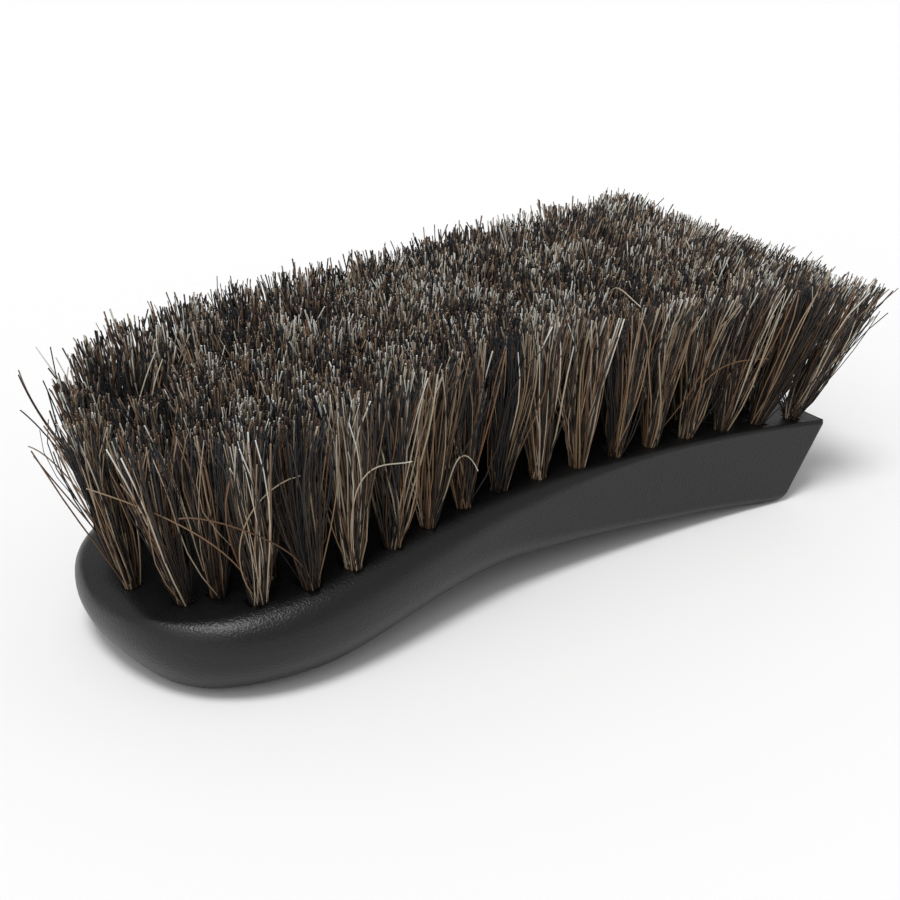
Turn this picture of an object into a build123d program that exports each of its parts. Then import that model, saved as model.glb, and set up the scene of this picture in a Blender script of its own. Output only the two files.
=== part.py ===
from build123d import *
from math import cos, hypot, pi, sin, sqrt
import os

# A shoe brush, lying hair up on the back of its one-piece moulded handle.
# All sizes are in millimetres. X runs along the handle from its round lobe to its square tail,
# Y across it and Z up. A reach is a distance along X from the tip of the lobe.

# The handle from above: a round lobe, a waist for the fingers and a tail that flares like a fish's
handle_length = 166.0
lobe_reach = 35.0
lobe_width = 64.0
waist_reach = 84.0
waist_width = 55.6
tail_width = 72.2
lobe_fullness_share = 0.37
tail_flare_share = 0.19

# The handle from the side: an arched face for the hair, and an arched back for the palm
tip_height = 15.7
crown_reach = 95.0
crown_height = 22.8
tail_height = 18.5
arch_reach = 83.0
arch_height = 5.7
back_flat_reach = 25.2
back_flat_sink = 0.4
back_tip_lift = 0.2
tail_foot_sink = 2.4
tail_slant = 9.8

# The rounding of the edges, which is full round the lobe and fades to crisp at the tail
lobe_back_round = 11.5
tail_back_round = 2.4
lobe_rim_round = 3.5
tail_rim_round = 1.0
tail_end_round = 0.4
back_side_count = 7
rim_side_count = 4
round_fade_start = 38.0
round_fade_length = 90.0
least_side = 0.5

# The holes for the tufts, and the rows that they stand in
first_row_reach = 8.7
last_row_reach = 158.0
row_count = 16
tuft_spacing = 8.2
tuft_stagger = 2.0
lobe_root_inset = 6.5
tail_root_inset = 3.8
inset_fade_start = 70.0
inset_fade_length = 36.0
hole_diameter = 3.8
hole_depth = 9.0
hole_side_count = 6
face_layer = 2.0
layer_border = 0.5

# The hair: where a tuft's trimmed end stands off from its root
trim_tip_height = 53.9
trim_crown_reach = 88.0
trim_crown_height = 57.6
trim_tail_height = 51.4
lobe_end_lean = 6.6
tail_end_lean = 11.0
side_lean = 1.0
lobe_corner_lean = 3.2
tail_corner_lean = 5.6

# A tuft: its doubled root, the flat wire anchor that it is folded round, and its strands
root_clearance = 0.25
strand_count = 3
strand_side_count = 3
strand_root_offset = 0.95
strand_root_size = 0.65
strand_top_offset = 2.4
strand_top_size = 1.25
fold_thickness = 0.8
anchor_height = 1.8
anchor_thickness = 0.4
anchor_clearance = 0.1

# Fits and cuts
layer_clearance = 0.1
overrun = 2.0

# Where the handle's cross sections are taken: round the lobe as shares of a quarter turn,
# and from the lobe to the tail as shares of that length
lobe_station_shares = (0.98, 0.91, 0.82, 0.71, 0.59, 0.46, 0.31, 0.16, 0.0)
body_station_shares = (0.09, 0.19, 0.28, 0.37, 0.47, 0.57, 0.68, 0.79, 0.9, 1.0)
corner_limit_share = 0.94
gap_check_shares = (0.0, 0.25, 0.5, 0.75, 1.0)


def ease(share):
    """A smooth step from 0 to 1 that starts and ends level."""
    share = max(0.0, min(1.0, share))
    return share * share * (3 - 2 * share)


def arc_height(line, reach):
    """The height of an upright arc, at one reach."""
    return line.arc_center.Y + sqrt(line.radius ** 2 - (reach - line.arc_center.X) ** 2)


# The face is one arc from end to end, and so is the trimmed top of the hair
face_line = ThreePointArc((0, tip_height), (crown_reach, crown_height), (handle_length, tail_height))
trim_line = ThreePointArc((0, trim_tip_height), (trim_crown_reach, trim_crown_height),
                          (handle_length, trim_tail_height))


def face_height(reach):
    """The height of the face that the hair stands on."""
    return arc_height(face_line, reach)


def trim_height(reach):
    """The height that the hair is trimmed to."""
    return arc_height(trim_line, reach)


def back_height(reach):
    """The height of the back, which sinks a little past the level that it will be cut flat at."""
    if reach < back_flat_reach:
        return (back_tip_lift + back_flat_sink) * (1 - reach / back_flat_reach) ** 2 - back_flat_sink
    if reach < arch_reach:
        rise = ease((reach - back_flat_reach) / (arch_reach - back_flat_reach))
        return (arch_height + back_flat_sink) * rise - back_flat_sink
    share = (reach - arch_reach) / (handle_length - arch_reach)
    return arch_height - (arch_height + tail_foot_sink) * share ** 2


def half_width(reach):
    """Half the handle's width, from the lobe's widest place to the tail."""
    lobe_half, waist_half, tail_half = lobe_width / 2, waist_width / 2, tail_width / 2
    if reach < waist_reach:
        share = ease((reach - lobe_reach) / (waist_reach - lobe_reach))
        return lobe_half + (waist_half - lobe_half) * share
    run = handle_length - waist_reach
    share = (reach - waist_reach) / run
    flare = tail_flare_share * run * share * share * (share - 1)
    return waist_half + (tail_half - waist_half) * share * share * (3 - 2 * share) + flare


def lobe_place(turn_share, inset):
    """The reach and half width at a share of the quarter turn round the lobe, 1 being its tip."""
    power = 2 / (2 + lobe_fullness_share)
    turn = turn_share * pi / 2
    reach = lobe_reach - (lobe_reach - inset) * sin(turn) ** power
    return reach, (lobe_width / 2 - inset) * cos(turn) ** power


def root_inset(reach):
    """How far the outer tufts stand in from the handle's edge."""
    share = ease((reach - inset_fade_start) / inset_fade_length)
    return lobe_root_inset + (tail_root_inset - lobe_root_inset) * share


def root_half_width(reach):
    """Half the width across the outer tufts of a row."""
    if reach >= lobe_reach:
        return half_width(reach) - root_inset(reach)
    power = 2 + lobe_fullness_share
    share = (lobe_reach - reach) / (lobe_reach - lobe_root_inset)
    return (lobe_width / 2 - lobe_root_inset) * (1 - share ** power) ** (1 / power)


def fading_round(reach, lobe_round, tail_round):
    """A rounding that is full at the lobe and fades towards the tail."""
    return lobe_round + (tail_round - lobe_round) * ease((reach - round_fade_start) / round_fade_length)


def rounded_rise(radius, reach):
    """How far the rounding of the lobe's tip lifts the middle of a section close to it."""
    if reach >= radius:
        return 0
    return radius - sqrt(radius ** 2 - (radius - reach) ** 2)


def corner_points(start, end, corner, side_count):
    """The points of a quarter round from start to end, drawn towards the corner between them."""
    points = []
    for index in range(side_count + 1):
        turn = pi / 2 * index / side_count
        points.append(start + (corner - start) * sin(turn) + (end - corner) * (1 - cos(turn)))
    return points


def cross_section(reach, half):
    """The handle's outline across, at one reach: four sides with their corners rounded."""
    back_round = fading_round(reach, lobe_back_round, tail_back_round)
    rim_round = fading_round(reach, lobe_rim_round, tail_rim_round)
    low, high = back_height(reach), face_height(reach)
    side_low, side_high = low + back_round, high - rim_round
    if side_high - side_low < least_side:
        middle = (side_low * rim_round + side_high * back_round) / (back_round + rim_round)
        side_low, side_high = middle - least_side / 2, middle + least_side / 2
    low += rounded_rise(back_round, reach)
    high -= rounded_rise(rim_round, reach)
    low_half = half - min(back_round, half * corner_limit_share)
    high_half = half - min(rim_round, half * corner_limit_share)
    points = corner_points(Vector(reach, low_half, low), Vector(reach, half, side_low),
                           Vector(reach, half, low), back_side_count)
    points += corner_points(Vector(reach, half, side_high), Vector(reach, high_half, high),
                            Vector(reach, half, high), rim_side_count)
    far_side = [Vector(point.X, -point.Y, point.Z) for point in reversed(points)]
    return Wire.make_polygon(points + far_side)


def handle_form():
    """The outer form of the handle, lofted along it, with its slanted tail and its flat feet."""
    sections = [cross_section(*lobe_place(share, 0)) for share in lobe_station_shares]
    run = handle_length + overrun * 2 - lobe_reach
    for share in body_station_shares:
        reach = lobe_reach + run * share
        sections.append(cross_section(reach, half_width(reach)))
    form = Solid.make_loft(sections)
    tail_top = (handle_length, 0, face_height(handle_length))
    form = split(form, Plane(origin=tail_top, z_dir=(tail_height, 0, -tail_slant)), keep=Keep.BOTTOM)
    form = split(form, Plane.XY, keep=Keep.TOP)
    end_face = form.faces().sort_by(Axis.X)[-1]
    return fillet(end_face.edges(), tail_end_round)


def row_edge(row):
    """The reach at which a row's slice of the face layer starts."""
    if row == 0:
        return 0
    if row == row_count:
        return handle_length
    return first_row_reach + (last_row_reach - first_row_reach) * (row - 1 / 2) / (row_count - 1)


def face_layer_form(border, depth, height):
    """The tufted part of the face, as a layer from a depth under the face to a height over it."""
    outline = []
    for share in lobe_station_shares:
        outline.append(lobe_place(share, lobe_root_inset - hole_diameter / 2 - border))
    last_reach = last_row_reach + tuft_stagger + hole_diameter / 2 + border
    for share in body_station_shares:
        reach = lobe_reach + (last_reach - lobe_reach) * share
        outline.append((reach, root_half_width(reach) + hole_diameter / 2 + border))
    near_side = [(reach, -half) for reach, half in reversed(outline)]
    plan = Face(Wire.make_polygon(outline + near_side))
    edges = [row_edge(row) for row in range(row_count + 1)]
    floor = [(reach, 0, face_height(reach) - depth) for reach in edges]
    ceiling = [(reach, 0, face_height(reach) + height) for reach in reversed(edges)]
    walls = extrude(plan, crown_height + overrun, dir=(0, 0, 1))
    return walls & extrude(Face(Wire.make_polygon(floor + ceiling)), tail_width / 2, both=True)


def tuft_places(row):
    """The reach and the place across of each tuft in a row, staggered to and fro about its middle."""
    reach = first_row_reach + (last_row_reach - first_row_reach) * row / (row_count - 1)
    half = root_half_width(reach)
    count = 2 * round(half / tuft_spacing) + 1
    places = []
    for index in range(count):
        stagger = -tuft_stagger if index % 2 else tuft_stagger
        places.append((reach + stagger, half * (2 * index / (count - 1) - 1)))
    return places


def trimmed_place(place):
    """Where the trimmed end of a tuft is centred: the hair leans outwards towards both ends."""
    reach, across = place
    middle = (first_row_reach + last_row_reach) / 2
    share = (reach - middle) / (last_row_reach - middle)
    end_lean, corner_lean = lobe_end_lean, lobe_corner_lean
    if share > 0:
        end_lean, corner_lean = tail_end_lean, tail_corner_lean
    side_share = across / half_width(max(reach, lobe_reach))
    top_reach = reach + end_lean * share * abs(share)
    top_across = across + side_share * (side_lean + corner_lean * share ** 4)
    return Vector(top_reach, top_across, trim_height(top_reach))


def tuft_axis(place):
    """The line of a tuft: its middle at the face, and how far it leans for each unit of height."""
    face = Vector(place[0], place[1], face_height(place[0]))
    rise = trimmed_place(place) - face
    return face, rise / rise.Z


def ring(radius, side_count):
    """The corners of a level polygon round a circle, with a flat side towards the tail."""
    turns = [2 * pi * (index + 1 / 2) / side_count for index in range(side_count)]
    return [Vector(radius * cos(turn), radius * sin(turn)) for turn in turns]


def ruled_prism(corners, ends, end_share=1):
    """A solid with flat sides from a level polygon at one end to the like at the other."""
    start = [ends[0] + corner for corner in corners]
    end = [ends[1] + corner * end_share for corner in corners]
    outlines = [start[::-1], end]
    for index, corner in enumerate(start):
        outlines.append([start[index - 1], corner, end[index], end[index - 1]])
    return Solid(Shell([Face(Wire.make_polygon(outline)) for outline in outlines]))


def leaning_prism(place, corners, low, high):
    """A prism along a tuft's line, between two heights above the face."""
    face, lean = tuft_axis(place)
    return ruled_prism(corners, (face + lean * low, face + lean * high))


def tuft_hole(place):
    """The blind hole that a tuft is set in."""
    corners = ring(hole_diameter / 2 / cos(pi / hole_side_count), hole_side_count)
    return leaning_prism(place, corners, -hole_depth, overrun)


def anchor(place, clearance):
    """The flat wire that pins a tuft down across its hole, or with a clearance the room for it."""
    half_length = hole_diameter / 2 - anchor_clearance + clearance
    half_thickness = anchor_thickness / 2 + clearance
    sides = ((1, 1), (-1, 1), (-1, -1), (1, -1))
    corners = [Vector(along * half_length, across * half_thickness) for along, across in sides]
    low = root_clearance + fold_thickness - hole_depth
    return leaning_prism(place, corners, low - clearance, low + anchor_height + clearance)


def tuft_root(place):
    """The doubled root of a tuft, down in its hole and folded round its anchor."""
    corners = ring((hole_diameter / 2 - root_clearance) / cos(pi / hole_side_count), hole_side_count)
    root = leaning_prism(place, corners, root_clearance - hole_depth, -face_layer / 2)
    return root - anchor(place, anchor_clearance)


def strand_lines(place):
    """The root and the trimmed end of each strand of a tuft, which fan out from each other."""
    face, lean = tuft_axis(place)
    root = face - lean * (face_layer / 2)
    end = trimmed_place(place)
    lines = []
    for index in range(strand_count):
        turn = 2 * pi * index / strand_count
        way = Vector(cos(turn), sin(turn))
        lines.append((root + way * strand_root_offset, end + way * strand_top_offset))
    return lines


def strand(line):
    """One strand of three sides, which widens towards its trimmed end."""
    return ruled_prism(ring(strand_root_size, strand_side_count), line, strand_top_size / strand_root_size)


def tuft_row(row, layer):
    """A row of tufts, fused to the slice of the handle's face that holds them."""
    low = row_edge(row) + layer_clearance / 2
    high = row_edge(row + 1) - layer_clearance / 2
    slab = Pos((low + high) / 2, 0, 0) * Box(high - low, tail_width, 2 * crown_height + overrun)
    pieces = []
    for place in tuft_places(row):
        pieces.append(tuft_root(place))
        pieces += [strand(line) for line in strand_lines(place)]
    return (layer & slab).solid().fuse(*[piece.solid() for piece in pieces])


def least_strand_gap(lines):
    """The least distance between two strands, corner circle to corner circle, at some heights."""
    gap = handle_length
    for share in gap_check_shares:
        size = strand_root_size + (strand_top_size - strand_root_size) * share
        points = [start + (end - start) * share for start, end in lines]
        for index, point in enumerate(points):
            for other in points[index + 1:]:
                gap = min(gap, hypot(point.X - other.X, point.Y - other.Y) - 2 * size)
    return gap


def brush():
    """Every node of the brush, by name, in the handle's own frame."""
    form = handle_form()
    places = [tuft_places(row) for row in range(row_count)]
    room = face_layer_form(layer_border + layer_clearance, face_layer, overrun)
    layer = face_layer_form(layer_border, face_layer - layer_clearance, 0)
    holes = [tuft_hole(place) for row in places for place in row]
    nodes = {"handle_block": (form - room).solid().cut(*holes)}
    for row in range(row_count):
        nodes[f"tuft_row_{row + 1:02d}"] = tuft_row(row, layer)
        nodes[f"anchor_row_{row + 1:02d}"] = Compound([anchor(place, 0).solid() for place in places[row]])
    lines = [line for row in places for place in row for line in strand_lines(place)]
    print(len(holes), "tufts,", len(lines), "strands, least gap", round(least_strand_gap(lines), 2))
    return nodes


def export():
    """Moves the brush so that its frame starts under its middle, and writes each node."""
    nodes = brush()
    box = Compound(list(nodes.values())).bounding_box()
    shift = Pos(-box.center().X, -box.center().Y, -box.min.Z)
    os.makedirs("parts", exist_ok=True)
    for name, solid in nodes.items():
        export_step(shift * solid, f"parts/{name}.step")
    print("overall", box.size, "tip of the lobe at", -box.center().X)


export()
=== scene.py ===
from math import cos, pi, radians, sin, sqrt

import bmesh
import bpy
import numpy as np
from mathutils import Matrix, Vector


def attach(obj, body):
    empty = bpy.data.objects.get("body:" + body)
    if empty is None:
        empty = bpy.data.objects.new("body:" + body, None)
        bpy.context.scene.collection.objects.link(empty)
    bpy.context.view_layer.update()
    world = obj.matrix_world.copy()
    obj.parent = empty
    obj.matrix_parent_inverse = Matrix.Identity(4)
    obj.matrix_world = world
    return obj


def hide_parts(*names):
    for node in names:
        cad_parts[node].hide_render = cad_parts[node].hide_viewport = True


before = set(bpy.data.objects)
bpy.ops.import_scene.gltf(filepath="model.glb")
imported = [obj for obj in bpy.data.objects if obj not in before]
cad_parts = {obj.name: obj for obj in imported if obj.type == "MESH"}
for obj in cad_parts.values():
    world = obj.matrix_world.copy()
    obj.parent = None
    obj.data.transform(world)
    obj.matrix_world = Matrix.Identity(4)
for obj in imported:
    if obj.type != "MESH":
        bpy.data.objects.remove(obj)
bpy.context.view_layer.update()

# A shoe brush, lying hair up on its black moulded handle.
# The sizes of the brush are in millimetres, and mm turns them into Blender's metres.
# A reach is a distance along the handle from the tip of its lobe, as in the part's source.
mm = 0.001
lobe_tip = -85.957

# The handle from above and from the side
handle_length = 166.0
lobe_reach = 35.0
lobe_width = 64.0
waist_reach = 84.0
waist_width = 55.6
tail_width = 72.2
lobe_fullness_share = 0.37
tail_flare_share = 0.19
tip_height = 15.7
crown_reach = 95.0
crown_height = 22.8
tail_height = 18.5
arch_reach = 83.0
arch_height = 5.7
back_flat_reach = 25.2
back_flat_sink = 0.4
back_tip_lift = 0.2
tail_foot_sink = 2.4
tail_slant = 9.8
tail_overrun = 4.0

# The rounding of its edges, which fades towards the tail
lobe_back_round = 11.5
tail_back_round = 2.4
lobe_rim_round = 6.5
tail_rim_round = 1.0
tail_end_round = 0.5
tail_end_segments = 3
round_fade_start = 38.0
round_fade_length = 90.0
least_side = 0.5
corner_limit_share = 0.94

# How finely the handle's sheet is divided, round the lobe, along the rest and round each section
lobe_station_count = 36
body_station_count = 66
flat_segments = 7
back_segments = 9
side_segments = 3
rim_segments = 7
weld_gap = 0.02
cut_gap = 0.001
flat_side_weight = 100

# The holes and the rows of tufts
first_row_reach = 8.7
last_row_reach = 158.0
row_count = 16
tuft_spacing = 8.2
tuft_stagger = 2.0
lobe_root_inset = 6.5
tail_root_inset = 3.8
inset_fade_start = 70.0
inset_fade_length = 36.0
hole_diameter = 3.8
hole_depth = 9.0
hole_side_count = 16
hole_overrun = 3.0

# Where the hair is trimmed, and how it leans outwards towards both ends
trim_tip_height = 53.9
trim_crown_reach = 88.0
trim_crown_height = 58.1
trim_tail_height = 51.2
lobe_end_lean = 6.6
tail_end_lean = 11.0
side_lean = 1.0
lobe_corner_lean = 3.2
tail_corner_lean = 5.6

# The hairs of a tuft: how many, how thick, and how deep and wide their roots stand in the hole.
# A spread is the usual deviation of a random value.
first_seed = 100
hairs_in_tuft = 165
hair_point_count = 7
hair_thickness = 0.31
hair_thickness_spread = 0.06
hair_thickness_limits = (0.16, 0.42)
tip_thickness_share = 0.86
root_depth = 3.0
root_radius = 1.7

# How the hairs fan out of the hole and gather in locks, and how far a whole tuft leans
fan_radius = 4.9
fan_squareness = 0.6
fan_turn_spread = 0.8
fan_spread = 1.75
tuft_lean_spread = 0.8
locks_in_tuft = 7
lock_pull_share = 0.7

# The inner tufts of the last row lean back, and the inner hairs of that row open near the root
tail_fill_reach = 155.0
tail_fill_lean = 3.5
belly_share = 0.05
tail_belly_share = 1.0

# How evenly the hairs are trimmed
trim_spread = 0.45
short_share = 0.2
short_least = 0.8
short_most = 7.0

# How a hair, a lock and a whole tuft bend
bend_spread = 1.05
low_bend_spread = 0.45
lock_bend_spread = 0.7
tuft_bend_spread = 0.8
tip_spread = 1.2
tip_power = 4

# How the tone varies from tuft to tuft and from lock to lock
tuft_tone_spread = 0.09
lock_tone_spread = 0.08

# The share of wild hairs, which bend and stray more
wild_share = 0.10
wild_bend_spread = 2.6
wild_low_bend_share = 1.4
wild_fan_spread = 3.6

# The dark parting near the lobe, where the tufts lean away from each other, and where the hairs get
# a lower tone as painted shade
parting_place = (lobe_tip + 16.7, 13.0)
parting_radius = (8.5, 10.0)
parting_push = 3.5
parting_drop = 6.0
parting_painted_shade = 0.4
parting_least_length = 0.05

# Long stray hairs: their row, their tuft in it, their tone, and the places that draw them
stray_point_count = 18
stray_hairs = (
    (3, 0, 0.94, ((34.5, -31.0, 36.0), (36.5, -31.5, 49.0),
                  (43.5, -31.0, 42.5), (50.2, -31.0, 42.0))),
    (0, 2, 0.30, ((7.0, 14.0, 30.0), (1.5, 16.0, 43.0), (-4.4, 17.7, 50.0))),
    (0, 2, 0.80, ((5.0, 10.0, 30.0), (-1.0, 12.0, 42.0), (-6.0, 12.5, 45.0))),
    (0, 1, 0.55, ((4.0, 3.0, 26.0), (-3.0, 4.0, 36.0), (-8.0, 6.5, 46.0))),
    (1, 5, 0.40, ((6.0, 15.0, 34.0), (-1.0, 17.0, 46.0), (-3.0, 20.0, 56.0))),
    (1, 6, 0.60, ((10.0, 21.0, 30.0), (1.0, 23.0, 44.0), (0.0, 26.0, 54.0))),
    (1, 0, 0.72, ((16.0, -25.0, 31.0), (8.0, -22.0, 38.5),
                  (1.0, -15.0, 42.0), (-5.0, -7.0, 44.0))),
    (1, 0, 0.82, ((16.0, -25.0, 24.0), (8.0, -28.0, 38.0),
                  (18.0, -27.5, 46.0), (27.5, -27.0, 44.5))),
    (2, 0, 0.60, ((27.0, -28.0, 30.0), (20.0, -28.5, 34.0),
                  (9.0, -27.0, 43.0), (3.0, -25.0, 43.0))),
    (0, 1, 0.90, ((8.0, 3.0, 35.0), (10.7, 5.2, 48.0), (17.5, 4.7, 60.5))),
    (1, 3, 0.86, ((14.0, 1.0, 38.0), (10.0, 1.0, 48.0), (17.5, 2.2, 60.0))),
    (5, 0, 0.90, ((63.0, -28.0, 28.0), (60.0, -29.5, 41.0),
                  (65.0, -29.0, 41.0), (68.3, -29.0, 33.5))),
    (10, 0, 0.74, ((104.0, -31.0, 29.4), (111.6, -31.0, 35.2),
                   (114.8, -31.0, 49.3), (108.7, -31.0, 56.3))),
    (10, 1, 0.88, ((113.0, -14.0, 46.0), (115.0, -16.0, 62.0),
                   (109.5, -21.0, 61.0), (112.5, -27.4, 56.5))),
    (12, 0, 0.66, ((125.0, -31.0, 33.0), (129.0, -32.0, 43.0),
                   (139.0, -32.0, 39.0), (148.6, -32.0, 37.0))),
    (14, 1, 0.50, ((155.0, -22.0, 45.0), (159.5, -22.2, 54.0), (160.5, -25.0, 58.5))),
    (15, 0, 0.78, ((156.0, -36.0, 28.0), (168.3, -38.0, 36.7),
                   (175.6, -38.0, 41.8), (178.5, -38.0, 49.4))),
    (15, 0, 0.90, ((158.0, -33.0, 30.0), (163.0, -35.0, 38.0),
                   (174.6, -37.0, 44.0), (176.5, -37.0, 51.0))))

# How a picture is laid out on a hair: its cell's used part, and the small rounds of its two ends
cell_width = 0.8
cell_side = 0.1
cell_length = 0.7
cell_foot = 0.15
end_cell_middle = 0.5
end_cell_radius = (0.08, 0.04)
end_cell_places = (0.925, 0.075)

# The colours. A mask lies around one half, and its useful range is stretched.
mask_low = 0.3
mask_high = 0.7
plastic_colours = ((0.0025, 0.0028, 0.0032), (0.0055, 0.0055, 0.0055))
plastic_roughness = (0.33, 0.40)
plastic_specular = 0.42
steel_colours = ((0.36, 0.35, 0.34), (0.50, 0.49, 0.47))
steel_roughness = (0.28, 0.42)
hair_roughness = (0.45, 0.58)
hair_specular = 0.2

# The hair's colour over its tone, and the painted shade and light along it: darker towards the
# root, brighter and cooler than its own colour towards the trimmed end
hair_tones = (
    (0.00, (0.021, 0.021, 0.023)),
    (0.42, (0.032, 0.028, 0.026)),
    (0.54, (0.080, 0.056, 0.039)),
    (0.65, (0.190, 0.102, 0.057)),
    (0.76, (0.295, 0.210, 0.132)),
    (0.87, (0.415, 0.340, 0.246)),
    (0.95, (0.500, 0.450, 0.362)),
    (1.00, (0.620, 0.580, 0.500)))
hair_painted_shade_and_light = (
    (0.00, (0.52, 0.46, 0.40)),
    (0.45, (0.78, 0.71, 0.63)),
    (0.84, (0.96, 0.95, 0.94)),
    (1.00, (1.16, 1.28, 1.44)))

# The camera of the photograph: its angles in degrees, and how near and far it sees in metres
camera_azimuth = -39.94
camera_elevation = 26.64
camera_roll = 1.10
camera_distance = 401.80
camera_target = (0.542, 1.34, 20.41)
camera_lens = 74.63
camera_sensor = 36.0
camera_clip = (0.01, 20.0)

# The lamps: the way that their light travels, their strength and the angle that softens them
lamps = (
    ("key", (0.28, 0.16, -0.95), 1.90, 20),
    ("side", (0.90, 0.25, -0.75), 0.65, 60))
sky_strength = 0.5
seen_sky_strength = 1.0

# The floor, in metres
floor_reach = 6.0
floor_grey = 0.84
floor_roughness = 0.9


def ease(share):
    """A smooth step from 0 to 1 that starts and ends level."""
    share = max(0.0, min(1.0, share))
    return share * share * (3 - 2 * share)


def arc_through(start, middle, end):
    """The height of an upright arc through three (reach, height) places, as a function of reach."""
    (ax, az), (bx, bz), (cx, cz) = start, middle, end
    turn = 2 * (ax * (bz - cz) + bx * (cz - az) + cx * (az - bz))
    a, b, c = ax * ax + az * az, bx * bx + bz * bz, cx * cx + cz * cz
    centre_x = (a * (bz - cz) + b * (cz - az) + c * (az - bz)) / turn
    centre_z = (a * (cx - bx) + b * (ax - cx) + c * (bx - ax)) / turn
    radius = sqrt((ax - centre_x) ** 2 + (az - centre_z) ** 2)
    return lambda reach: centre_z + sqrt(radius ** 2 - (reach - centre_x) ** 2)


face_height = arc_through((0, tip_height), (crown_reach, crown_height),
                          (handle_length, tail_height))
trim_height = arc_through((0, trim_tip_height), (trim_crown_reach, trim_crown_height),
                          (handle_length, trim_tail_height))


def back_height(reach):
    """The height of the handle's back over the table."""
    if reach < back_flat_reach:
        lift = (back_tip_lift + back_flat_sink) * (1 - reach / back_flat_reach) ** 2
        return max(0.0, lift - back_flat_sink)
    if reach < arch_reach:
        rise = ease((reach - back_flat_reach) / (arch_reach - back_flat_reach))
        return max(0.0, (arch_height + back_flat_sink) * rise - back_flat_sink)
    share = (reach - arch_reach) / (handle_length - arch_reach)
    return max(0.0, arch_height - (arch_height + tail_foot_sink) * share ** 2)


def half_width(reach):
    """Half the handle's width, from the lobe's widest place to the tail."""
    lobe_half, waist_half, tail_half = lobe_width / 2, waist_width / 2, tail_width / 2
    if reach < waist_reach:
        share = ease((reach - lobe_reach) / (waist_reach - lobe_reach))
        return lobe_half + (waist_half - lobe_half) * share
    run = handle_length - waist_reach
    share = (reach - waist_reach) / run
    flare = tail_flare_share * run * share * share * (share - 1)
    return waist_half + (tail_half - waist_half) * share * share * (3 - 2 * share) + flare


def lobe_place(turn_share):
    """The reach and half width at a share of the quarter turn round the lobe, 1 being its tip."""
    power = 2 / (2 + lobe_fullness_share)
    turn = turn_share * pi / 2
    return lobe_reach * (1 - sin(turn) ** power), lobe_width / 2 * max(0.0, cos(turn)) ** power


def root_half_width(reach):
    """Half the width across the outer tufts of a row."""
    if reach >= lobe_reach:
        share = ease((reach - inset_fade_start) / inset_fade_length)
        return half_width(reach) - lobe_root_inset - (tail_root_inset - lobe_root_inset) * share
    power = 2 + lobe_fullness_share
    share = (lobe_reach - reach) / (lobe_reach - lobe_root_inset)
    return (lobe_width / 2 - lobe_root_inset) * (1 - share ** power) ** (1 / power)


def fading_round(reach, lobe_round, tail_round):
    """A rounding that is full at the lobe and fades towards the tail."""
    fade = ease((reach - round_fade_start) / round_fade_length)
    return lobe_round + (tail_round - lobe_round) * fade


def rounded_rise(radius, reach):
    """How far the rounding of the lobe's tip lifts the middle of a section close to it."""
    return radius - sqrt(radius ** 2 - (radius - min(reach, radius)) ** 2)


def corner_points(start, end, corner, segments):
    """The points of a quarter round from start to end, drawn towards the corner between them."""
    turns = [pi / 2 * index / segments for index in range(segments)]
    return [start + (corner - start) * sin(turn) + (end - corner) * (1 - cos(turn))
            for turn in turns]


def straight_points(start, end, segments):
    """The points of a straight side, without its last."""
    return [start.lerp(end, index / segments) for index in range(segments)]


def section_points(reach, half):
    """The handle's outline across, at one reach: four sides with their corners rounded."""
    back_round = fading_round(reach, lobe_back_round, tail_back_round)
    rim_round = fading_round(reach, lobe_rim_round, tail_rim_round)
    low, high = back_height(reach), face_height(reach)
    rim_round = min(rim_round, high - low - back_round - least_side)
    side_low, side_high = low + back_round, high - rim_round
    low += rounded_rise(back_round, reach)
    high -= rounded_rise(rim_round, reach)
    low_half = half - min(back_round, half * corner_limit_share)
    high_half = half - min(rim_round, half * corner_limit_share)

    def at(across, height):
        return Vector((lobe_tip + reach, across, height))

    near = straight_points(at(0, low), at(low_half, low), flat_segments)
    near += corner_points(at(low_half, low), at(half, side_low), at(half, low), back_segments)
    near += straight_points(at(half, side_low), at(half, side_high), side_segments)
    near += corner_points(at(half, side_high), at(high_half, high), at(half, high), rim_segments)
    near += straight_points(at(high_half, high), at(0, high), flat_segments)
    near.append(at(0, high))
    return near + [Vector((point.x, -point.y, point.z)) for point in reversed(near[:-1])]


def tuft_places(row):
    """The reach and the place across of each tuft in a row, staggered to and fro."""
    reach = first_row_reach + (last_row_reach - first_row_reach) * row / (row_count - 1)
    half = root_half_width(reach)
    count = 2 * round(half / tuft_spacing) + 1
    places = []
    for index in range(count):
        stagger = -tuft_stagger if index % 2 else tuft_stagger
        places.append((reach + stagger, half * (2 * index / (count - 1) - 1)))
    return places


def tuft_line(place):
    """A tuft's middle at the face, and where the middle of its trimmed end stands."""
    reach, across = place
    middle = (first_row_reach + last_row_reach) / 2
    share = (reach - middle) / (last_row_reach - middle)
    end_lean, corner_lean = lobe_end_lean, lobe_corner_lean
    if share > 0:
        end_lean, corner_lean = tail_end_lean, tail_corner_lean
    side_share = across / half_width(max(reach, lobe_reach))
    top_reach = reach + end_lean * share * abs(share)
    top_across = across + side_share * (side_lean + corner_lean * share ** 4)
    root = np.array((lobe_tip + reach, across, face_height(reach)))
    return root, np.array((lobe_tip + top_reach, top_across, trim_height(top_reach)))


def mesh_object(name, mesh, body="root"):
    """A piece of the brush in the scene, riding on the part's body."""
    piece = bpy.data.objects.new(name, mesh)
    bpy.context.scene.collection.objects.link(piece)
    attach(piece, body)
    return piece


def finished_mesh(name, sheet):
    """A mesh from a bmesh, with its faces turned outwards."""
    bmesh.ops.recalc_face_normals(sheet, faces=sheet.faces)
    mesh = bpy.data.meshes.new(name)
    sheet.to_mesh(mesh)
    sheet.free()
    return mesh


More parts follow.
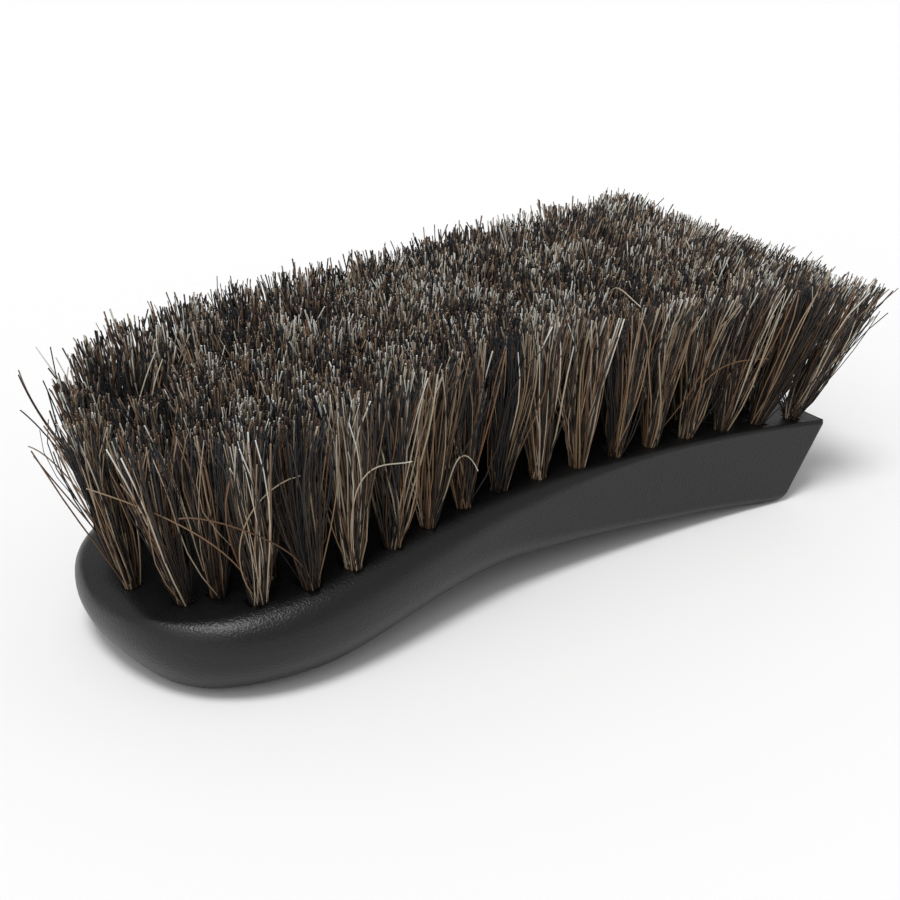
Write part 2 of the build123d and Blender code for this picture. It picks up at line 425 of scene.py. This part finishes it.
def handle_sheet():
    """The handle's closed skin: a grid wrapped round its sections, cut to the slanted tail."""
    stations = []
    for index in range(lobe_station_count):
        stations.append(section_points(*lobe_place(1 - index / lobe_station_count)))
    run = handle_length + tail_overrun - lobe_reach
    for index in range(body_station_count + 1):
        reach = lobe_reach + run * index / body_station_count
        stations.append(section_points(reach, half_width(reach)))
    along, around = len(stations) - 1, len(stations[0]) - 1
    sheet = bmesh.new()
    half_side = 0.5
    bmesh.ops.create_grid(sheet, x_segments=along, y_segments=around, size=half_side)
    for vert in sheet.verts:
        station = round((vert.co.x + half_side) * along)
        vert.co = stations[station][round((vert.co.y + half_side) * around)] * mm
    bmesh.ops.remove_doubles(sheet, verts=sheet.verts, dist=weld_gap * mm)
    tail_top = Vector((lobe_tip + handle_length, 0, face_height(handle_length))) * mm
    slant = Vector((tail_height, 0, -tail_slant)).normalized()
    everything = sheet.verts[:] + sheet.edges[:] + sheet.faces[:]
    cut = bmesh.ops.bisect_plane(sheet, geom=everything, dist=cut_gap * mm, plane_co=tail_top,
                                 plane_no=slant, clear_outer=True)
    rim = [part for part in cut["geom_cut"] if isinstance(part, bmesh.types.BMEdge)]
    end = bmesh.ops.contextual_create(sheet, geom=rim)["faces"]
    bmesh.ops.recalc_face_normals(sheet, faces=sheet.faces)
    bmesh.ops.bevel(sheet, geom=end[0].edges[:], offset=tail_end_round * mm, offset_type="OFFSET",
                    segments=tail_end_segments, profile=0.5, affect="EDGES", material=-1)
    for face in sheet.faces:
        face.smooth = True
    return sheet


def hole_cutter():
    """Every tuft hole as one mesh to cut with: a drill for each, leaning as its tuft does."""
    drills = bmesh.new()
    for row in range(row_count):
        for place in tuft_places(row):
            root, top = tuft_line(place)
            lean = Vector((top - root) / (top - root)[2])
            made = bmesh.ops.create_cone(drills, cap_ends=True, segments=hole_side_count,
                                         radius1=hole_diameter / 2, radius2=hole_diameter / 2,
                                         depth=1)["verts"]
            for vert in made:
                height = hole_overrun if vert.co.z > 0 else -hole_depth
                vert.co = Vector(root) + lean * height + Vector((vert.co.x, vert.co.y, 0))
    bmesh.ops.scale(drills, vec=(mm, mm, mm), verts=drills.verts)
    return drills


def make_handle():
    """The moulded handle with its tuft holes. Its flat sides lead the shading beside its edges."""
    handle = mesh_object("handle_moulding", finished_mesh("handle_moulding", handle_sheet()))
    drills = bpy.data.objects.new("drills", finished_mesh("drills", hole_cutter()))
    bpy.context.scene.collection.objects.link(drills)
    holes = handle.modifiers.new("tuft_holes", "BOOLEAN")
    holes.operation, holes.solver, holes.object = "DIFFERENCE", "MANIFOLD", drills
    handle.modifiers.new("flat_sides_lead", "WEIGHTED_NORMAL").weight = flat_side_weight
    graph = bpy.context.evaluated_depsgraph_get()
    pierced = bpy.data.meshes.new_from_object(handle.evaluated_get(graph))
    handle.modifiers.clear()
    handle.data = pierced
    bpy.data.objects.remove(drills)
    return handle


def tuft_hairs(place, draws):
    """The centre lines of one tuft's hairs, as points by hairs, with their thickness and tone."""
    root, top = tuft_line(place)
    count = hairs_in_tuft
    turn = draws.uniform(0, 2 * pi, count)
    spread = np.sqrt(draws.uniform(0, 1, count))
    out = np.stack((np.cos(turn), np.sin(turn), np.zeros(count)), 1) * spread[:, None]
    start = root + out * root_radius

    # The hairs fan out into a rounded square, and gather into a few locks
    top = top + draws.normal(0, tuft_lean_spread, 3) * (1, 1, 0)
    if tail_fill_reach < place[0] < last_row_reach:
        top[0] += tail_fill_lean
    turn = turn + draws.normal(0, fan_turn_spread, count)
    sides = np.maximum(abs(np.cos(turn)), abs(np.sin(turn))) ** fan_squareness
    out = np.stack((np.cos(turn), np.sin(turn), np.zeros(count)), 1)
    fan = out * (spread / sides)[:, None] * fan_radius
    fan += draws.normal(0, fan_spread, (count, 3)) * (1, 1, 0)
    locks = draws.permutation(count)[:locks_in_tuft]
    nearest = np.linalg.norm(fan[:, None] - fan[None, locks], axis=2).argmin(1)
    fan += (fan[locks][nearest] - fan) * lock_pull_share * draws.uniform(0, 1, (count, 1))
    wild = draws.uniform(0, 1, count) < wild_share
    fan[wild, :2] += draws.normal(0, wild_fan_spread, (wild.sum(), 2))
    end = top + fan

    # They are trimmed along the arc of the top, and some are short
    end[:, 2] = [trim_height(reach - lobe_tip) for reach in end[:, 0]]
    end[:, 2] += draws.normal(0, trim_spread, count)
    short = draws.uniform(0, 1, count) < short_share
    end[short, 2] -= draws.uniform(short_least, short_most, short.sum())

    # The parting pushes the ends aside and lets the light down
    away = (end[:, :2] - parting_place) / parting_radius
    strength = np.exp(-(away ** 2).sum(1))
    length = np.maximum(np.linalg.norm(away, axis=1), parting_least_length)
    end[:, :2] += away / length[:, None] * (strength * parting_push)[:, None]
    end[:, 2] -= strength * parting_drop

    # Each hair bends with its lock and its tuft, and a little on its own
    bend = draws.normal(0, bend_spread, (count, 3))
    bend[wild] *= wild_bend_spread / bend_spread
    bend += draws.normal(0, lock_bend_spread, (locks_in_tuft, 3))[nearest]
    bend = (bend + draws.normal(0, tuft_bend_spread, 3)) * (1, 1, 0)
    second = draws.normal(0, low_bend_spread, (count, 3)) * (1, 1, 0)
    second[wild] *= wild_low_bend_share
    share = np.linspace(0, 1, hair_point_count)[None, :, None]
    line = start[:, None] + (end - start)[:, None] * share
    line += bend[:, None] * np.sin(pi * share) * share + second[:, None] * np.sin(2 * pi * share)
    line += (draws.normal(0, tip_spread, (count, 3)) * (1, 1, 0))[:, None] * share ** tip_power

    # Near the root they belly outwards, most of all on the inner side of the last row
    inner = (fan[:, :1] < 0) & (place[0] > tail_fill_reach)
    belly = np.where(inner, tail_belly_share, belly_share)
    line += (fan * belly)[:, None] * np.sin(pi * share) * (1 - share)
    foot = start - (top - root) / (top - root)[2] * root_depth
    line = np.concatenate((foot[:, None], line), 1)
    thickness = draws.normal(hair_thickness, hair_thickness_spread, count)
    thickness = np.clip(thickness, *hair_thickness_limits)
    tone = draws.uniform(0, 1, count) + draws.normal(0, lock_tone_spread, locks_in_tuft)[nearest]
    # Near the parting the tone is lowered: painted shade in the gap between the tufts
    tone += draws.normal(0, tuft_tone_spread) - strength * parting_painted_shade
    tone = np.clip(tone, 0, 1)
    return line, thickness, tone


def stray_line(row, index, places):
    """The centre line of one stray hair: a smooth curve from its tuft's root to its last place."""
    root, top = tuft_line(tuft_places(row)[index])
    foot = root - (top - root) / (top - root)[2] * root_depth
    drawn = np.array([root] + [(lobe_tip + place[0], place[1], place[2]) for place in places])
    share = np.linspace(0, 1, stray_point_count - 1)[:, None, None]
    line = np.repeat(drawn[None], len(share), 0)
    while line.shape[1] > 1:
        line = line[:, :-1] + (line[:, 1:] - line[:, :-1]) * share
    return np.concatenate((foot[None], line[:, 0]))


def close_ends(mesh):
    """Closes each hair's two open ends with a flat cut face."""
    tubes = bmesh.new()
    tubes.from_mesh(mesh)
    rims = [edge for edge in tubes.edges if edge.is_boundary]
    bmesh.ops.holes_fill(tubes, edges=rims, sides=0)
    bmesh.ops.recalc_face_normals(tubes, faces=tubes.faces)
    for face in tubes.faces:
        face.smooth = True
    for edge in rims:
        edge.smooth = False
    tubes.to_mesh(mesh)
    tubes.free()


def hair_mesh(name, lines, thicknesses, tones):
    """A mesh of thin bevelled curves, with each hair's tone and the share along it."""
    curve = bpy.data.curves.new(name, "CURVE")
    curve.dimensions, curve.resolution_u = "3D", 1
    curve.bevel_depth, curve.bevel_resolution = mm / 2, 0
    points = lines.shape[1]
    for line, thickness in zip(lines, thicknesses):
        spline = curve.splines.new("POLY")
        spline.points.add(points - 1)
        places = np.ones((points, 4))
        places[:, :3] = line * mm
        spline.points.foreach_set("co", places.ravel())
        taper = np.linspace(1.0, tip_thickness_share, points) * thickness
        spline.points.foreach_set("radius", taper)
    holder = bpy.data.objects.new(name, curve)
    bpy.context.scene.collection.objects.link(holder)
    graph = bpy.context.evaluated_depsgraph_get()
    mesh = bpy.data.meshes.new_from_object(holder.evaluated_get(graph))
    bpy.data.objects.remove(holder)
    bpy.data.curves.remove(curve)
    mesh.name = name
    mesh.uv_layers.remove(mesh.uv_layers[0])
    close_ends(mesh)

    ring_size = len(mesh.vertices) // (len(lines) * points)
    rings = np.arange(len(mesh.vertices)) // ring_size
    share = np.clip((rings % points - 1) / (points - 2), 0, 1)
    for label, values in (("hair_share", share), ("hair_tone", np.asarray(tones)[rings // points])):
        mesh.attributes.new(label, "FLOAT", "POINT").data.foreach_set("value", values)
    corners = np.empty(len(mesh.loops), np.int64)
    mesh.loops.foreach_get("vertex_index", corners)
    starts = np.empty(len(mesh.polygons), np.int64)
    mesh.polygons.foreach_get("loop_start", starts)
    corner_rings = rings[corners]
    is_side = np.maximum.reduceat(corner_rings, starts) != np.minimum.reduceat(corner_rings, starts)
    lay_out_hairs(mesh, corners, starts, rings, is_side, ring_size, points, len(lines))
    return mesh


def lay_out_hairs(mesh, corners, starts, rings, is_side, ring_size, points, count):
    """A flat map with a cell for each hair, so that a picture baked through it keeps them apart."""
    cells = int(np.ceil(sqrt(count)))
    hair = rings[corners] // points
    side = corners % ring_size
    sizes = np.diff(np.append(starts, len(corners)))
    first = np.repeat(np.minimum.reduceat(side, starts), sizes)
    last = np.repeat(np.maximum.reduceat(side, starts), sizes)
    around = np.where((side == 0) & (first == 0) & (last == ring_size - 1), ring_size, side)
    across = (around / ring_size) * cell_width + cell_side
    along = (rings[corners] % points) / (points - 1) * cell_length + cell_foot
    flat = np.repeat(~is_side, sizes)
    tip = (rings[corners] % points > 0)[flat]
    turn = side[flat] * 2 * pi / ring_size
    across[flat] = end_cell_middle + end_cell_radius[0] * np.cos(turn)
    along[flat] = np.where(tip, *end_cell_places) + end_cell_radius[1] * np.sin(turn)
    places = np.stack(((hair % cells + across) / cells, (hair // cells + along) / cells), 1)
    mesh.uv_layers.new(name="OFBake").data.foreach_set("uv", places.ravel())


def make_row(row, look):
    """One row of tufts, as the piece that stands for that row of the part."""
    draws = np.random.default_rng(first_seed + row)
    made = [tuft_hairs(place, draws) for place in tuft_places(row)]
    lines, thicknesses, tones = [np.concatenate(kind) for kind in zip(*made)]
    name = f"hair_row_{row + 1:02d}"
    piece = mesh_object(name, hair_mesh(name, lines, thicknesses, tones))
    piece.data.materials.append(look)
    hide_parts(f"tuft_row_{row + 1:02d}")


def make_strays(look):
    """The few long hairs that stray from their tufts, as one piece."""
    lines = np.array([stray_line(row, index, places) for row, index, tone, places in stray_hairs])
    tones = [tone for row, index, tone, places in stray_hairs]
    mesh = hair_mesh("stray_hairs", lines, [hair_thickness] * len(lines), tones)
    piece = mesh_object("stray_hairs", mesh)
    piece.data.materials.append(look)
    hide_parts(*sorted({f"tuft_row_{stray[0] + 1:02d}" for stray in stray_hairs}))


def new_look(name):
    """An empty node material, its tree and its Principled shader."""
    look = bpy.data.materials.new(name)
    look.use_nodes = True
    return look, look.node_tree, look.node_tree.nodes["Principled BSDF"]


def add_node(tree, kind, fed_by=None, **settings):
    """A shader node: settings are its own choices, and fed_by its sockets' values or links."""
    node = tree.nodes.new(kind)
    for key, value in settings.items():
        setattr(node, key, value)
    for socket, value in (fed_by or {}).items():
        if isinstance(value, bpy.types.NodeSocket):
            tree.links.new(value, node.inputs[socket])
        else:
            node.inputs[socket].default_value = value
    return node


def ramp(tree, value, stops):
    """A colour ramp over a value, through (place, colour) stops."""
    node = add_node(tree, "ShaderNodeValToRGB", {"Fac": value})
    elements = node.color_ramp.elements
    while len(elements) < len(stops):
        elements.new(0.5)
    for element, (place, colour) in zip(elements, stops):
        element.position, element.color = place, (*colour, 1)
    return node.outputs["Color"]


def speckle_group():
    """Fine raised speckles with slow patches over them: a height, and a patch mask."""
    group = bpy.data.node_groups.new("moulded_speckle", "ShaderNodeTree")
    for name, kind in (("Place", "NodeSocketVector"), ("Speckle Scale", "NodeSocketFloat"),
                       ("Patch Scale", "NodeSocketFloat")):
        group.interface.new_socket(name, in_out="INPUT", socket_type=kind)
    for name in ("Height", "Patch"):
        group.interface.new_socket(name, in_out="OUTPUT", socket_type="NodeSocketFloat")
    given = add_node(group, "NodeGroupInput").outputs
    fine = {"Vector": given["Place"], "Scale": given["Speckle Scale"]}
    slow = {"Vector": given["Place"], "Scale": given["Patch Scale"]}
    cells = add_node(group, "ShaderNodeTexVoronoi", fine, feature="SMOOTH_F1")
    grit = add_node(group, "ShaderNodeTexNoise", {**fine, "Detail": 3.0, "Roughness": 0.65})
    product = {0: cells.outputs["Distance"], 1: grit.outputs["Fac"]}
    height = add_node(group, "ShaderNodeMath", product, operation="MULTIPLY")
    patch = add_node(group, "ShaderNodeTexNoise", {**slow, "Detail": 4.0, "Roughness": 0.6})
    add_node(group, "NodeGroupOutput", {"Height": height.outputs[0], "Patch": patch.outputs["Fac"]})
    return group


def spread(tree, mask, low, high):
    """A mask around one half, spread to a range of values."""
    given = {"Value": mask, "From Min": mask_low, "From Max": mask_high,
             "To Min": low, "To Max": high}
    return add_node(tree, "ShaderNodeMapRange", given).outputs["Result"]


def speckled_look(name, speckle, scales, colours, roughness, bump, stretch=None):
    """A look with the shared speckles: its two colours, range of roughness, and bump."""
    look, tree, shader = new_look(name)
    place = add_node(tree, "ShaderNodeTexCoord").outputs["Object"]
    if stretch:
        drawn = add_node(tree, "ShaderNodeMapping", {"Vector": place, "Scale": stretch})
        place = drawn.outputs["Vector"]
    grain = add_node(tree, "ShaderNodeGroup", node_tree=speckle)
    tree.links.new(place, grain.inputs["Place"])
    grain.inputs["Speckle Scale"].default_value = scales[0]
    grain.inputs["Patch Scale"].default_value = scales[1]
    patch = grain.outputs["Patch"]
    colour = ramp(tree, patch, ((mask_low, colours[0]), (mask_high, colours[1])))
    tree.links.new(colour, shader.inputs["Base Color"])
    tree.links.new(spread(tree, patch, *roughness), shader.inputs["Roughness"])
    raised = {"Strength": bump[0], "Distance": bump[1], "Height": grain.outputs["Height"]}
    normal = add_node(tree, "ShaderNodeBump", raised).outputs["Normal"]
    tree.links.new(normal, shader.inputs["Normal"])
    return look, shader


def moulded_plastic(speckle):
    """Black moulded plastic with the fine matt grain of its mould."""
    look, shader = speckled_look("black_moulded_plastic", speckle, (2500.0, 45.0),
                                 plastic_colours, plastic_roughness, (0.7, 0.0002))
    shader.inputs["Specular IOR Level"].default_value = plastic_specular
    return look


def anchor_steel(speckle):
    """Drawn flat steel wire, with its grain stretched along it."""
    look, shader = speckled_look("anchor_steel", speckle, (6000.0, 300.0),
                                 steel_colours, steel_roughness, (0.2, 0.00002), (0.1, 1.0, 1.0))
    shader.inputs["Metallic"].default_value = 1.0
    return look


def mixed_hair():
    """Undyed horsehair, from black to grey, with painted shade at the root and painted light
    towards the trimmed end.
    """
    look, tree, shader = new_look("mixed_horsehair")
    tone = add_node(tree, "ShaderNodeAttribute", attribute_name="hair_tone").outputs["Fac"]
    share = add_node(tree, "ShaderNodeAttribute", attribute_name="hair_share").outputs["Fac"]
    colour = ramp(tree, tone, hair_tones)
    # Painted shade darkens each hair towards its root, and painted light brightens and cools it
    # towards its trimmed end
    painted_shading = ramp(tree, share, hair_painted_shade_and_light)
    shaded_colour = add_node(tree, "ShaderNodeMix", {"Factor": 1.0, 6: colour, 7: painted_shading},
                      data_type="RGBA", blend_type="MULTIPLY")
    tree.links.new(shaded_colour.outputs[2], shader.inputs["Base Color"])
    low, high = hair_roughness
    gloss = add_node(tree, "ShaderNodeMapRange", {"Value": tone, "To Min": low, "To Max": high})
    tree.links.new(gloss.outputs["Result"], shader.inputs["Roughness"])
    shader.inputs["Specular IOR Level"].default_value = hair_specular
    return look


def place_camera():
    """The camera of the photograph: its direction, distance, roll and lens."""
    azimuth, elevation = radians(camera_azimuth), radians(camera_elevation)
    roll = radians(camera_roll)
    level = cos(elevation)
    ahead = Vector((-sin(azimuth) * level, cos(azimuth) * level, -sin(elevation)))
    right = Vector((cos(azimuth), sin(azimuth), 0))
    up = right.cross(ahead)
    right, up = right * cos(roll) + up * sin(roll), up * cos(roll) - right * sin(roll)
    data = bpy.data.cameras.new("camera")
    data.lens, data.sensor_width = camera_lens, camera_sensor
    data.clip_start, data.clip_end = camera_clip
    camera = bpy.data.objects.new("camera", data)
    turned = Matrix((right, up, -ahead)).transposed().to_4x4()
    place = (Vector(camera_target) - ahead * camera_distance) * mm
    camera.matrix_world = Matrix.Translation(place) @ turned
    bpy.context.scene.collection.objects.link(camera)
    bpy.context.scene.camera = camera


def light_scene():
    """A pale floor under a soft sun and an even sky."""
    scene = bpy.context.scene
    scene.view_settings.view_transform = "Standard"
    for name, direction, strength, angle in lamps:
        lamp = bpy.data.lights.new(name, "SUN")
        lamp.energy, lamp.angle = strength, radians(angle)
        holder = bpy.data.objects.new(name, lamp)
        holder.rotation_euler = Vector(direction).to_track_quat("-Z", "Y").to_euler()
        scene.collection.objects.link(holder)
    world = bpy.data.worlds.new("sky")
    world.use_nodes = True
    tree = world.node_tree
    seen = add_node(tree, "ShaderNodeLightPath")
    rays = {0: seen.outputs["Is Camera Ray"], 1: seen.outputs["Is Transmission Ray"]}
    direct = add_node(tree, "ShaderNodeMath", rays, operation="MAXIMUM")
    given = {"Value": direct.outputs[0], "To Min": sky_strength, "To Max": seen_sky_strength}
    strength = add_node(tree, "ShaderNodeMapRange", given)
    tree.links.new(strength.outputs["Result"], tree.nodes["Background"].inputs["Strength"])
    tree.nodes["Background"].inputs["Color"].default_value = (1, 1, 1, 1)
    scene.world = world


def lay_floor():
    """A plain pale floor, which keeps the brush's shadow."""
    sheet = bmesh.new()
    bmesh.ops.create_grid(sheet, x_segments=1, y_segments=1, size=floor_reach)
    floor = bpy.data.objects.new("floor", finished_mesh("floor", sheet))
    look, tree, shader = new_look("pale_floor")
    shader.inputs["Base Color"].default_value = (floor_grey, floor_grey, floor_grey, 1)
    shader.inputs["Roughness"].default_value = floor_roughness
    floor.data.materials.append(look)
    bpy.context.scene.collection.objects.link(floor)


place_camera()
light_scene()
lay_floor()
speckle = speckle_group()
handle = make_handle()
handle.data.materials.clear()
handle.data.materials.append(moulded_plastic(speckle))
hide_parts("handle_block")
hair_look = mixed_hair()
for row in range(row_count):
    make_row(row, hair_look)
make_strays(hair_look)
steel = anchor_steel(speckle)
for name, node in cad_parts.items():
    if name.startswith("anchor_row"):
        for place in node.material_slots:
            place.material = steel
